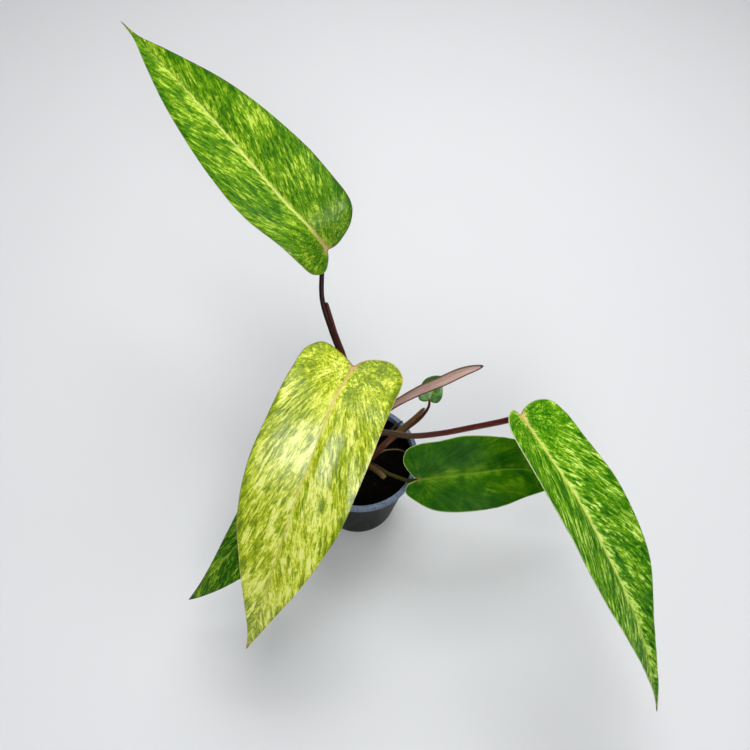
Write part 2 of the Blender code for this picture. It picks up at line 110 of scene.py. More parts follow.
# ================================================================ geometry
def unit(v):
    return v / np.maximum(np.linalg.norm(v, axis=-1, keepdims=True), 1e-12)


def smooth(a, b, x):
    t = np.clip((x - a) / (b - a), 0, 1)
    return t * t * (3 - 2 * t)


def through(points, per_span):
    """Centripetal Catmull-Rom line through the points."""
    p = np.asarray(points, float)
    p = np.vstack([2 * p[0] - p[1], p, 2 * p[-1] - p[-2]])
    out = []
    for i in range(1, len(p) - 2):
        a, b, c, d = p[i - 1:i + 3]
        k = [max(float(np.linalg.norm((v - u)[:3])), 1e-9) ** 0.5 for u, v in ((a, b), (b, c), (c, d))]
        t0, t1, t2, t3 = 0.0, k[0], k[0] + k[1], k[0] + k[1] + k[2]
        for t in np.linspace(t1, t2, per_span, endpoint=(i == len(p) - 3)):
            a1 = (t1 - t) / (t1 - t0) * a + (t - t0) / (t1 - t0) * b
            a2 = (t2 - t) / (t2 - t1) * b + (t - t1) / (t2 - t1) * c
            a3 = (t3 - t) / (t3 - t2) * c + (t - t2) / (t3 - t2) * d
            b1 = (t2 - t) / (t2 - t0) * a1 + (t - t0) / (t2 - t0) * a2
            b2 = (t3 - t) / (t3 - t1) * a2 + (t - t1) / (t3 - t1) * a3
            out.append((t2 - t) / (t2 - t1) * b1 + (t - t1) / (t2 - t1) * b2)
    return np.array(out)


def run_length(p):
    return np.concatenate([[0.0], np.cumsum(np.linalg.norm(np.diff(p, axis=0), axis=1))])


class Midrib:
    def __init__(self, rib, face0, face1):
        self.p = through(rib, 40)
        self.s = run_length(self.p)
        self.length = self.s[-1]
        self.t = unit(np.gradient(self.p, self.s, axis=0))
        self.f0, self.f1 = np.array(face0), np.array(face1)

    def at(self, y):
        y = np.asarray(y, float)
        yc = np.clip(y, 0, self.length)
        c = np.stack([np.interp(yc, self.s, self.p[:, k]) for k in range(3)], -1)
        t = unit(np.stack([np.interp(yc, self.s, self.t[:, k]) for k in range(3)], -1))
        c = c + (y - yc)[..., None] * t
        w = (yc / self.length)[..., None]
        f = self.f0 * (1 - w) + self.f1 * w
        n = unit(f - (f * t).sum(-1, keepdims=True) * t)
        return c, t, n, np.cross(t, n)


class Lattice:
    """Smooth value noise on a fixed random lattice, for shapes."""
    def __init__(self, seed):
        self.v = np.random.RandomState(seed).rand(64, 64)

    def __call__(self, x, y):
        xi, yi = np.floor(x).astype(int), np.floor(y).astype(int)
        fx, fy = x - xi, y - yi
        fx, fy = fx * fx * (3 - 2 * fx), fy * fy * (3 - 2 * fy)
        g = lambda a, b: self.v[a % 64, b % 64]
        return ((g(xi, yi) * (1 - fx) + g(xi + 1, yi) * fx) * (1 - fy)
                + (g(xi, yi + 1) * (1 - fx) + g(xi + 1, yi + 1) * fx) * fy) * 2 - 1


def mesh_object(name, verts, faces, attrs=(), slots=None, uvs=(), merge=2e-6):
    """A mesh from millimetre points, with point attributes and UV layers given
    per point, welded where points meet."""
    mesh = bpy.data.meshes.new(name)
    mesh.from_pydata((np.asarray(verts) * MM).tolist(), [], faces)
    for key, values in attrs:
        a = mesh.attributes.new(key, "FLOAT", "POINT")
        a.data.foreach_set("value", np.asarray(values, np.float32))
    loops = np.empty(len(mesh.loops), np.int32)
    mesh.loops.foreach_get("vertex_index", loops)
    for key, values in uvs:
        layer = mesh.uv_layers.new(name=key)
        layer.data.foreach_set("uv", np.asarray(values, np.float32)[loops].ravel())
    if slots is not None:
        mesh.polygons.foreach_set("material_index", np.asarray(slots, np.int32))
    bm = bmesh.new()
    bm.from_mesh(mesh)
    if merge:
        bmesh.ops.remove_doubles(bm, verts=bm.verts, dist=merge)
        bmesh.ops.dissolve_degenerate(bm, edges=bm.edges, dist=merge)
    bmesh.ops.recalc_face_normals(bm, faces=bm.faces)
    for f in bm.faces:
        f.smooth = True
    bm.to_mesh(mesh)
    bm.free()
    obj = bpy.data.objects.new(name, mesh)
    PIECES.objects.link(obj)
    return obj


def edge_points(outline, length, rows):
    edge = through([(0, 0)] + list(outline) + [(0, length)], 40)
    s = run_length(edge)
    u = np.linspace(0, 1, rows + 1)
    u = u - 0.10 * np.sin(2 * math.pi * u) / (2 * math.pi)
    e = np.stack([np.interp(u * s[-1], s, edge[:, k]) for k in range(2)], 1)
    return e, u * s[-1], edge


def vein_starts(edges, length, lean, soft):
    """Where each side vein leaves the midrib; shared by both halves."""
    y0 = sum(e[:, 1] - lean * e[:, 0] for e in edges) / len(edges)
    y0 = soft * np.logaddexp(0, y0 / soft)
    y0 = y0 - y0[0] * np.exp(-y0 / (2 * soft))
    y0 = np.clip(y0, 0, length)
    y0[0], y0[-1] = 0.0, length
    return np.maximum.accumulate(y0)


COLS = np.array([0, .012, .025, .04, .06, .09, .13, .18, .24, .31, .39, .47, .55, .63, .71, .79, .86, .92, .96, .985, 1.0])


def build_blade(name, leaf, rows, thick, edge_thick, rib_depth, curl=CROSS_CURL,
                seed=1, lean=2.0, channel=0.5, relief=0.13, wave=0.9, relief_pitch=9.0, puff=0.0, cols=COLS):
    mid = Midrib(leaf["rib"], leaf["face0"], leaf["face1"])
    length = mid.length
    halves = [edge_points(leaf[k], length, rows) for k in ("right", "left")]
    start = vein_starts([h[0] for h in halves], length, lean, 0.05 * length)
    verts, faces, slots = [], [], []
    a_rib, a_edge, a_along, a_side, uv_vein, uv_flat = [], [], [], [], [], []
    noise = Lattice(seed)
    for side, (e, arc, fine) in zip((1, -1), halves):
        r, c = len(e), len(cols)
        cx, cy = 0.55 * e[:, 0], start + 0.45 * (e[:, 1] - start)
        t = cols[None, :]
        x = 2 * t * (1 - t) * cx[:, None] + t * t * e[:, 0][:, None]
        y = (1 - t) ** 2 * start[:, None] + 2 * t * (1 - t) * cy[:, None] + t * t * e[:, 1][:, None]
        run = np.hypot(e[:, 0], e[:, 1] - start)[:, None] * t
        half = np.max(e[:, 0])
        d_edge = np.full(x.shape, 1e9)
        for p in fine[::2]:
            d_edge = np.minimum(d_edge, np.hypot(x - p[0], y - p[1]))
        arcs = np.repeat(arc[:, None], c, 1)
        cc, tt, nn, bb = mid.at(y)
        h = x * math.tan(math.radians(leaf["fold"])) - 0.5 * curl * x * x
        plain = cc + (side * x)[..., None] * bb + h[..., None] * nn
        fade = np.clip(1.1 - y / length, 0.12, 1.0)
        start_in = smooth(-1.0, 7.0, y)
        dip = -channel * np.exp(-(x / 1.3) ** 2) * fade * start_in
        ridge = 0.10 * channel * np.exp(-((x - 2.6) / 1.0) ** 2) * fade * start_in
        body = np.sin(math.pi * np.clip(t, 0, 1)) ** 0.8 * smooth(0, 14, arcs) * smooth(0, 20, arc[-1] - arcs)
        phase = arcs + 2.2 * noise(arcs / 11.0, x * 0.02 + 3.0)
        ribs = relief * (np.abs(np.sin(math.pi * phase / relief_pitch)) - 0.6) * body
        roll = wave * noise(arcs / 26.0 + side * 7.0, x * 0 + 0.5) * smooth(0.35, 1.0, t) * smooth(0, 20, arcs) * smooth(0, 30, arc[-1] - arcs)
        lump = 0.35 * noise(y / 16.0 + 9, side * x / 11.0 + 4) * smooth(2, 12, x) * smooth(0, 6, d_edge)
        if puff and side < 0:
            # the blade rises quickly beside the midrib, then runs level
            band = smooth(0.06, 0.16, y / length) * (1 - smooth(0.42, 0.62, y / length))
            lump = lump + puff * band * (smooth(0.3, 4.5, x) - 1.9 * smooth(4.0, 19.0, x) + 0.9 * smooth(20.0, 36.0, x))
        lip = -0.35 * np.exp(-(d_edge / 0.9) ** 2)
        up = dip + ridge + ribs + roll + lump + lip * (1 if curl > 0 else 0)
        top = plain + up[..., None] * nn
        th = edge_thick + (thick - edge_thick) * smooth(0.0, 3.0, d_edge)
        under = roll + lump + 0.4 * ribs + lip * (1 if curl > 0 else 0)
        low = plain + (under - th - rib_depth * np.exp(-(x / 1.55) ** 2) * fade * smooth(-2.0, 4.0, y))[..., None] * nn
        base = len(verts)
        verts.extend(top.reshape(-1, 3).tolist())
        verts.extend(low.reshape(-1, 3).tolist())
        for _ in range(2):
            a_rib.extend(x.ravel().tolist())
            a_edge.extend(d_edge.ravel().tolist())
            a_along.extend((y / length).ravel().tolist())
            a_side.extend([float(side)] * x.size)
            uv_vein.extend(np.stack([(arcs / 10 + (0 if side > 0 else 57.3)).ravel(), (run / 10).ravel()], 1).tolist())
            uv_flat.extend(np.stack([(side * x / 10).ravel(), (y / 10).ravel()], 1).tolist())

        def at(i, j, under_side=0):
            return base + under_side * r * c + i * c + j

        for i in range(r - 1):
            for j in range(c - 1):
                q = [at(i, j), at(i, j + 1), at(i + 1, j + 1), at(i + 1, j)]
                u = [at(i, j, 1), at(i + 1, j, 1), at(i + 1, j + 1, 1), at(i, j + 1, 1)]
                faces.append(q if side < 0 else q[::-1])
                faces.append(u if side < 0 else u[::-1])
                slots.extend([0, 1])
            m = [at(i, c - 1), at(i, c - 1, 1), at(i + 1, c - 1, 1), at(i + 1, c - 1)]
            faces.append(m if side < 0 else m[::-1])
            slots.append(0)
    return mesh_object(name, verts, faces,
                       [("rib", a_rib), ("edge", a_edge), ("along", a_along), ("side", a_side)],
                       slots, [("vein", uv_vein), ("flat", uv_flat)])


def tube(points, sides=24, per_span=16, shape=None, cap=0.30, up=(0, 0, 1), slot=0):
    """Arrays for a tube with softly rounded ends. shape(theta, s, total, r)
    gives the radius at an angle measured from the side that faces up."""
    line = through(points, per_span)
    p, rad = line[:, :3], line[:, 3]
    s = run_length(p)
    total = s[-1]
    t = unit(np.gradient(p, s, axis=0))
    prev = np.array(up, float)
    prev = prev - (prev @ t[0]) * t[0]
    if np.linalg.norm(prev) < 0.2:
        prev = np.array([0, -1.0, 0]) - (np.array([0, -1.0, 0]) @ t[0]) * t[0]
    n = np.empty_like(p)
    for i in range(len(p)):
        prev = prev - (prev @ t[i]) * t[i]
        prev = prev / np.linalg.norm(prev)
        n[i] = prev
    b = np.cross(t, n)
    steps = (0.0, 0.3, 0.6, 0.85)
    rings = [(0, -1, k) for k in steps] + [(i, 0, 1.0) for i in range(len(p))]
    rings += [(len(p) - 1, 1, k) for k in steps[::-1]]
    theta = np.linspace(0, 2 * math.pi, sides, endpoint=False)
    verts, along, ang, uv = [], [], [], []
    for i, end, k in rings:
        r = np.full(sides, rad[i]) if shape is None else shape(theta, s[i], total, rad[i])
        r = r * max(math.sqrt(1 - (1 - k) ** 2), 0.03)
        centre = p[i] + end * cap * (1 - k) * t[i]
        verts.extend((centre + r[:, None] * (np.cos(theta)[:, None] * n[i] + np.sin(theta)[:, None] * b[i])).tolist())
        along.extend([s[i] / total] * sides)
        ang.extend(np.cos(theta).tolist())
        uv.extend(np.stack([np.cos(theta / 2) * 0.9, np.full(sides, s[i] / 10)], 1).tolist())
    faces = []
    m = len(rings)
    for i in range(m - 1):
        for j in range(sides):
            k = (j + 1) % sides
            faces.append([i * sides + j, i * sides + k, (i + 1) * sides + k, (i + 1) * sides + j])
    faces.append(list(range(sides))[::-1])
    faces.append([(m - 1) * sides + j for j in range(sides)])
    return verts, faces, along, ang, uv, [slot] * len(faces)


def tubes(name, *parts):
    verts, faces, along, ang, uv, slots = [], [], [], [], [], []
    for v, f, a, u, w, sl in parts:
        base = len(verts)
        verts += v
        faces += [[base + q for q in face] for face in f]
        along += a
        ang += u
        uv += w
        slots += sl
    return mesh_object(name, verts, faces, [("along", along), ("upper", ang)], slots, [("tube", uv)], merge=0)


def revolve(name, profile, steps, attrs=None, merge=2e-6):
    verts, rings, faces = [], [], []
    for r, z in profile:
        if r < 1e-6:
            rings.append([len(verts)])
            verts.append((0, 0, z))
        else:
            rings.append(list(range(len(verts), len(verts) + steps)))
            for k in range(steps):
                a = 2 * math.pi * k / steps
                verts.append((r * math.cos(a), r * math.sin(a), z))
    for a, b in zip(rings, rings[1:]):
        for k in range(steps):
            n = (k + 1) % steps
            if len(a) == 1:
                faces.append([a[0], b[k], b[n]])
            elif len(b) == 1:
                faces.append([a[k], b[0], a[n]])
            else:
                faces.append([a[k], b[k], b[n], a[n]])
    return mesh_object(name, verts, faces, merge=merge)


# ================================================================ node tools
def lin(c):
    return tuple((v / 255 / 12.92) if v / 255 <= 0.04045 else ((v / 255 + 0.055) / 1.055) ** 2.4 for v in c)


class Graph:
    def __init__(self, name):
        self.m = bpy.data.materials.new(name)
        self.m.use_nodes = True
        self.t = self.m.node_tree
        self.t.nodes.clear()
        self.out = self.add("ShaderNodeOutputMaterial")
        self.b = self.add("ShaderNodeBsdfPrincipled")
        self.t.links.new(self.b.outputs["BSDF"], self.out.inputs["Surface"])

    def add(self, kind, **props):
        n = self.t.nodes.new(kind)
        for k, v in props.items():
            setattr(n, k, v)
        return n

    def put(self, socket, value):
        if isinstance(value, bpy.types.NodeSocket):
            self.t.links.new(value, socket)
        elif isinstance(value, (tuple, list)) and len(value) == 3 and socket.type == "RGBA":
            socket.default_value = (*value, 1)
        else:
            socket.default_value = value

    def math(self, op, a, b=0.0, c=None, clamp=False):
        n = self.add("ShaderNodeMath", operation=op, use_clamp=clamp)
        self.put(n.inputs[0], a)
        self.put(n.inputs[1], b)
        if c is not None:
            self.put(n.inputs[2], c)
        return n.outputs[0]

    def attr(self, name):
        return self.add("ShaderNodeAttribute", attribute_name=name).outputs["Fac"]

    def uv(self, name):
        return self.add("ShaderNodeUVMap", uv_map=name).outputs["UV"]

    def position(self):
        return self.add("ShaderNodeTexCoord").outputs["Object"]

    def mapped(self, vector, scale, loc=(0, 0, 0), rot=(0, 0, 0)):
        n = self.add("ShaderNodeMapping")
        self.put(n.inputs["Vector"], vector)
        n.inputs["Scale"].default_value = scale
        n.inputs["Location"].default_value = loc
        n.inputs["Rotation"].default_value = rot
        return n.outputs["Vector"]

    def noise(self, vector, scale=1.0, detail=2.0, rough=0.5, distort=0.0):
        n = self.add("ShaderNodeTexNoise")
        self.put(n.inputs["Vector"], vector)
        n.inputs["Scale"].default_value = scale
        n.inputs["Detail"].default_value = detail
        n.inputs["Roughness"].default_value = rough
        n.inputs["Distortion"].default_value = distort
        return n.outputs["Fac"]

    def voronoi(self, vector, scale=1.0, feature="F1", rand=1.0):
        n = self.add("ShaderNodeTexVoronoi", feature=feature)
        self.put(n.inputs["Vector"], vector)
        n.inputs["Scale"].default_value = scale
        n.inputs["Randomness"].default_value = rand
        return n

    def range(self, v, a, b, c=0.0, d=1.0, kind="SMOOTHSTEP"):
        n = self.add("ShaderNodeMapRange", interpolation_type=kind)
        self.put(n.inputs["Value"], v)
        for k, x in zip(("From Min", "From Max", "To Min", "To Max"), (a, b, c, d)):
            n.inputs[k].default_value = x
        return n.outputs["Result"]

    def ramp(self, v, stops, interp="LINEAR"):
        n = self.add("ShaderNodeValToRGB")
        n.color_ramp.interpolation = interp
        el = n.color_ramp.elements
        while len(el) < len(stops):
            el.new(0.5)
        for e, (pos, col) in zip(el, stops):
            e.position = pos
            e.color = (*lin(col), 1)
        self.put(n.inputs["Fac"], v)
        return n.outputs["Color"]

    def mix(self, f, a, b, mode="MIX"):
        n = self.add("ShaderNodeMix", data_type="RGBA", blend_type=mode)
        self.put(n.inputs[0], f)
        self.put(n.inputs[6], a)
        self.put(n.inputs[7], b)
        return n.outputs[2]

    def bump(self, height, distance, strength=1.0, normal=None):
        n = self.add("ShaderNodeBump")
        n.inputs["Strength"].default_value = strength
        n.inputs["Distance"].default_value = distance
        self.put(n.inputs["Height"], height)
        if normal is not None:
            self.put(n.inputs["Normal"], normal)
        return n.outputs["Normal"]

    def finish(self, colour=None, rough=None, normal=None, **sockets):
        if colour is not None:
            self.put(self.b.inputs["Base Color"], colour)
        if rough is not None:
            self.put(self.b.inputs["Roughness"], rough)
        if normal is not None:
            self.put(self.b.inputs["Normal"], normal)
        for k, v in sockets.items():
            self.put(self.b.inputs[k.replace("_", " ")], v)
        return self.m


# ================================================================ materials
def blade_material(name, stops, rib_colour, base_pink, edge_colour, tip_colour, seed,
                   cell=(1.6, 3.9), weights=(0.26, 0.26, 0.16), patch=0.9, fine_gain=0.35, under=False, mottle=0.32, bands=0.25,
                   vein_light=0.25, rib_width=1.1, rib_mix=0.9, rib_glow=0.12, margin_shade=0.06, rough=0.36,
                   vein_colour=None, edge_left=None, patch_size=(15.0, 26.0), spread=0.12, haze=0.35,
                   gloss=0.26, rib_end=1.0, spec=0.08, edge_far=None, dabbed=0.35, base_shade=0.0):
    """Variegated blade: flecks of several tones, drawn out along the veins."""
    g = Graph(name)
    vein, flat = g.uv("vein"), g.uv("flat")
    along, rib, edge, side = g.attr("along"), g.attr("rib"), g.attr("edge"), g.attr("side")
    off = (seed * 3.17, seed * 1.91, seed * 0.73)
    wob = g.add("ShaderNodeTexNoise")
    g.put(wob.inputs["Vector"], g.mapped(flat, (7.0, 7.0, 1), off))
    wob.inputs["Detail"].default_value = 2.0
    shake = g.add("ShaderNodeVectorMath", operation="MULTIPLY_ADD")
    g.put(shake.inputs[0], wob.outputs["Color"])
    shake.inputs[1].default_value = (0.20, 0.42, 0.0)
    g.put(shake.inputs[2], vein)
    vw = shake.outputs[0]

    def cells(k, add):
        v = g.voronoi(g.mapped(vw, (10 / (cell[0] * k[0]), 10 / (cell[1] * k[1]), 1), tuple(o + add for o in off)))
        return g.add_sep(v.outputs["Color"], 0)

    a, b, c = cells((1, 1), 0), cells((2.3, 2.1), 5), cells((0.5, 0.42), 11)
    p = g.noise(g.mapped(flat, (10 / patch_size[0], 10 / patch_size[1], 1), tuple(v + 9 for v in off)), 1.0, 2.0, 0.55, 0.6)
    n = g.noise(g.mapped(vein, (10 / 0.55, 10 / 2.6, 1), tuple(v + 2 for v in off)), 1.0, 3.0, 0.6, 0.2)
    # streaks follow the veins; towards the petiole they give way to small dabs
    near = g.math("SQRT", g.math("ADD", g.math("POWER", rib, 2.0),
                                 g.math("POWER", g.math("MULTIPLY", along, 230.0), 2.0)))
    streaky = g.range(near, 10.0, 50.0, dabbed, 1.0)
    v = g.math("MULTIPLY_ADD", a, weights[0], -0.5 * (sum(weights) + fine_gain))
    v = g.math("MULTIPLY_ADD", b, weights[1], v)
    v = g.math("MULTIPLY_ADD", c, weights[2], v)
    v = g.math("MULTIPLY_ADD", n, fine_gain, v)
    v = g.math("MULTIPLY", v, streaky)
    dab = g.noise(g.mapped(flat, (10 / 1.5, 10 / 1.9, 1), tuple(o + 4 for o in off)), 1.0, 3.0, 0.7, 0.8)
    gain = g.math("MULTIPLY_ADD", g.math("SUBTRACT", 1.0, streaky), 1.1, mottle)
    v = g.math("MULTIPLY_ADD", g.math("SUBTRACT", dab, 0.5), gain, v)
    broad = g.noise(g.mapped(vein, (10 / 7.0, 10 / 90.0, 1), tuple(o + 6 for o in off)), 1.0, 1.0, 0.5, 0.0)
    v = g.math("MULTIPLY_ADD", broad, bands, v)
    v = g.math("MULTIPLY_ADD", p, patch, v)
    v = g.math("SUBTRACT", v, 0.5 * (patch + bands))
    glow = g.math("MULTIPLY", g.range(rib, 0.5, 6.0, rib_glow, 0.0), g.range(along, 0.45, 0.92, 1.0, 0.1))
    v = g.math("ADD", v, glow)
    # painted shade: the blade darkens within 5 mm of its margin
    v = g.math("SUBTRACT", v, g.range(edge, 0.0, 5.0, margin_shade, 0.0))
    # painted shade: near the petiole, one half darkens away from the midrib
    if base_shade:
        base_shade_mask = g.math("MULTIPLY", g.range(side, -0.1, 0.1, 1.0, 0.0), g.range(along, 0.08, 0.36, base_shade, 0.0))
        v = g.math("SUBTRACT", v, g.math("MULTIPLY", base_shade_mask, g.range(rib, 0.0, 6.0)))
    v = g.math("MULTIPLY_ADD", v, 0.15 / spread, 0.5)
    colour = g.ramp(v, stops)
    if vein_light:
        # side veins: thin paler lines that leave the midrib
        line = g.math("FRACT", g.math("MULTIPLY", g.add_sep(vein, 0), 1 / 0.62))
        line = g.math("ABSOLUTE", g.math("SUBTRACT", line, 0.5))
        line = g.range(line, 0.0, 0.09, 1.0, 0.0)
        fadeout = g.range(rib, 1.0, 24.0, 1.0, 0.0)
        keep = g.noise(g.mapped(vein, (2.1, 0.35, 1), off), 1.0, 1.0, 0.5, 0.0)
        keep = g.range(keep, 0.44, 0.60)
        f = g.math("MULTIPLY", g.math("MULTIPLY", line, fadeout), g.math("MULTIPLY", keep, vein_light))
        colour = g.mix(f, colour, lin(vein_colour or rib_colour))
    # midrib, widest at the base, with a ragged border
    width = g.math("MULTIPLY_ADD", along, -0.72 * rib_width, rib_width)
    ragged = g.noise(g.mapped(vein, (10.0, 3.0, 1), off), 1.0, 2.0, 0.5, 0.0)
    ragged = g.math("MULTIPLY_ADD", ragged, 2.0 * rib_width, -1.0 * rib_width)
    dist = g.math("DIVIDE", g.math("SUBTRACT", rib, ragged), width)
    core = g.math("MULTIPLY", g.range(dist, 0.35, 1.25, 1.0, 0.0), g.range(along, 0.5, 0.92, rib_mix, rib_mix * rib_end, "LINEAR"))
    rib_tone = g.mix(g.range(along, 0.01, base_pink[1]), lin(base_pink[0]), lin(rib_colour))
    colour = g.mix(core, colour, rib_tone)
    # a fine darker line on each flank of the rib
    flank = g.range(g.math("ABSOLUTE", g.math("SUBTRACT", dist, 1.9)), 0.0, 0.7, 0.22 if not under else 0.1, 0.0)
    colour = g.mix(flank, colour, lin(stops[1][1]))
    # blush where the petiole joins, drawn out along the veins
    reach = g.math("MULTIPLY_ADD", n, 9.0, g.math("SUBTRACT", near, 4.5))
    colour = g.mix(g.range(reach, 0.0, 5.5, 0.75, 0.0), colour, lin(base_pink[0]))
    # margin line and drip tip
    rim = lin(edge_colour)
    if edge_left:
        rim = g.mix(g.range(side, -0.5, 0.5, 0.0, 1.0, "LINEAR"), lin(edge_left), lin(edge_colour))
    if edge_far:
        rim = g.mix(g.range(along, 0.42, 0.58), rim, lin(edge_far))
    rim = g.mix(g.range(near, 2.0, 8.0, 0.8, 0.0), rim, lin((140, 62, 54)))
    m = g.math("MULTIPLY", g.range(edge, 0.25, 0.85, 1.0, 0.0), 0.9)
    colour = g.mix(m, colour, rim)
    colour = g.mix(g.range(along, 0.972, 0.988), colour, lin(tip_colour))
    if under:
        colour = g.mix(0.38, colour, lin((150, 168, 92)))
    # relief: fine ridges along the veins, a fine skin grain
    fine = g.noise(g.mapped(vein, (10 / 0.75, 10 / 16.0, 1), off), 1.0, 3.0, 0.6, 0.2)
    grain = g.noise(g.mapped(flat, (22, 22, 1)), 1.0, 2.0, 0.5)
    height = g.math("MULTIPLY_ADD", grain, 0.3, fine)
    normal = g.bump(height, 0.00026 if not under else 0.0005, 0.6)
    r = g.math("MULTIPLY_ADD", n, 0.20, rough - 0.10 + (0.16 if under else 0.0))
    return g.finish(colour, r, normal, Specular_IOR_Level=spec, Coat_Weight=haze if not under else 0.08,
                    Coat_Roughness=gloss, Coat_IOR=1.5)


def add_sep(self, vector, axis):
    n = self.add("ShaderNodeSeparateXYZ")
    self.put(n.inputs[0], vector)
    return n.outputs[axis]


Graph.add_sep = add_sep


def stalk_material(name, low, mid_c, high, seed, rough=0.40, low_to=0.05, mid_at=0.35, high_at=0.6, fleck=(150, 120, 95), spec=0.28):
    g = Graph(name)
    along, upper, tube = g.attr("along"), g.attr("upper"), g.uv("tube")
    n = g.noise(g.mapped(tube, (9.0, 0.9, 1), (seed, seed * 2.0, 0)), 1.0, 3.0, 0.6, 0.3)
    a = g.math("MULTIPLY_ADD", n, 0.25, g.math("SUBTRACT", along, 0.125))
    colour = g.ramp(a, [(low_to, low), (mid_at, mid_c), (high_at, high), (1.0, high)])
    streak = g.range(n, 0.52, 0.70)
    colour = g.mix(g.math("MULTIPLY", streak, 0.35), colour, lin(fleck))
    spots = g.voronoi(g.mapped(tube, (7.0, 2.4, 1), (seed, 0, 0)), 1.0)
    dots = g.range(spots.outputs["Distance"], 0.06, 0.13, 1.0, 0.0)
    colour = g.mix(g.math("MULTIPLY", dots, 0.45), colour, lin(fleck))
    # painted shade: the side that faces down is blended towards a darker copy of the top colour
    underside_shade = g.range(upper, -1.0, 1.0, 0.35, 0.0, "LINEAR")
    colour = g.mix(underside_shade, colour, lin(tuple(int(v * 0.55) for v in high)))
    fine = g.noise(g.mapped(tube, (24, 1.6, 1)), 1.0, 2.0, 0.5)
    normal = g.bump(fine, 0.00018, 0.5)
    r = g.math("MULTIPLY_ADD", n, 0.12, rough - 0.06)
    return g.finish(colour, r, normal, Specular_IOR_Level=spec)


def plastic_material():
    g = Graph("black_plastic_satin")
    p = g.position()
    z = g.add_sep(p, 2)
    haze = g.noise(g.mapped(p, (60, 60, 25)), 1.0, 3.0, 0.6, 0.2)
    scuff = g.noise(g.mapped(p, (420, 420, 60), (3, 1, 2)), 1.0, 4.0, 0.65, 0.4)
    # painted reflection: the lip band is coloured blue-grey, as if the black plastic mirrored a bright room, and the
    # scuff noise varies it
    rim = g.range(z, (POT_HEIGHT - 6.4) * MM, (POT_HEIGHT - 5.6) * MM)
    colour = g.ramp(haze, [(0.3, (5, 5, 6)), (0.7, (10, 9, 11))])
    rim_sheen_paint = g.ramp(scuff, [(0.35, (92, 103, 124)), (0.65, (124, 138, 160))])
    colour = g.mix(g.math("MULTIPLY", rim, 0.9), colour, rim_sheen_paint)
    dust = g.range(scuff, 0.56, 0.72)
    colour = g.mix(g.math("MULTIPLY", dust, 0.10), colour, lin((84, 80, 78)))
    grain = g.noise(g.mapped(p, (1500, 1500, 1500)), 1.0, 2.0, 0.5)
    height = g.math("MULTIPLY_ADD", scuff, 0.5, grain)
    normal = g.bump(height, 0.00006, 0.5)
    r = g.math("MULTIPLY_ADD", scuff, 0.25, 0.28)
    return g.finish(colour, r, normal, Specular_IOR_Level=0.05)


def soil_material():
    g = Graph("potting_mix_dark_shaded")
    p = g.position()
    tone = g.attr("tone")
    n = g.noise(g.mapped(p, (700, 700, 700)), 1.0, 4.0, 0.65)
    big = g.noise(g.mapped(p, (120, 120, 120)), 1.0, 3.0, 0.6)
    # the ramp runs darker than the mix itself: dark brown soil plus painted shade inside the pot
    colour = g.ramp(g.math("MULTIPLY_ADD", big, 0.4, g.math("MULTIPLY", n, 0.6)),
                    [(0.3, (2, 2, 2)), (0.5, (5, 4, 3)), (0.7, (13, 10, 8))])
    colour = g.mix(g.range(tone, 0.45, 1.0, 0.0, 0.6, "LINEAR"), colour, lin((40, 28, 19)))
    normal = g.bump(n, 0.0009, 0.8)
    return g.finish(colour, 0.93, normal, Specular_IOR_Level=0.06)


def stem_material():
    g = Graph("stem_skin_fibrous")
    p = g.position()
    n = g.noise(g.mapped(p, (420, 420, 70)), 1.0, 4.0, 0.6, 0.3)
    big = g.noise(g.mapped(p, (90, 90, 90)), 1.0, 2.0, 0.5)
    colour = g.ramp(g.math("MULTIPLY_ADD", big, 0.5, g.math("MULTIPLY", n, 0.5)),
                    [(0.32, (58, 44, 30)), (0.5, (104, 88, 52)), (0.68, (132, 122, 74))])
    return g.finish(colour, 0.6, g.bump(n, 0.0006, 0.7), Specular_IOR_Level=0.35)


def dry_material(name, a, b):
    g = Graph(name)
    tube = g.uv("tube")
    n = g.noise(g.mapped(tube, (10, 2, 1)), 1.0, 4.0, 0.65, 0.4)
    colour = g.ramp(n, [(0.35, a), (0.65, b)])
    return g.finish(colour, 0.85, g.bump(n, 0.0005, 0.8), Specular_IOR_Level=0.25)


def cataphyll_material(name, foot, face, upper_edge, lower_edge, line, seed):
    g = Graph(name)
    flat, e, along, side = g.uv("flat"), g.attr("edge"), g.attr("along"), g.attr("side")
    n = g.noise(g.mapped(flat, (20, 0.7, 1), (seed, 0, 0)), 1.0, 3.0, 0.6, 0.1)
    blotch = g.noise(g.mapped(flat, (2.6, 0.9, 1), (seed, 3, 0)), 1.0, 3.0, 0.6, 0.3)
    colour = g.mix(g.range(along, 0.1, 0.85), lin(foot), lin(face))
    colour = g.mix(g.range(n, 0.42, 0.62, 0.5, 0.0), colour, lin(line))
    colour = g.mix(g.range(blotch, 0.52, 0.74, 0.0, 0.4), colour, lin(line))
    lower = g.math("MULTIPLY", g.range(side, -0.1, 0.1), g.range(e, 0.55, 1.35, 0.97, 0.0))
    upper = g.math("MULTIPLY", g.range(side, -0.1, 0.1, 1.0, 0.0), g.range(e, 0.8, 1.9, 0.92, 0.0))
    colour = g.mix(upper, colour, lin(upper_edge))
    colour = g.mix(lower, colour, lin(lower_edge))
    colour = g.mix(g.range(along, 0.975, 0.995, 0.0, 0.9), colour, lin((62, 28, 24)))
    return g.finish(colour, 0.5, g.bump(n, 0.0003, 0.6), Specular_IOR_Level=0.3)


def quant(colours, spread=0.15, mean=0.5):
    """Colour stops placed at the 2, 10, 25, 50, 75, 90 and 98 % points."""
    z = (-2.05, -1.28, -0.67, 0.0, 0.67, 1.28, 2.05)
    return [(mean + spread * k, c) for k, c in zip(z, colours)]


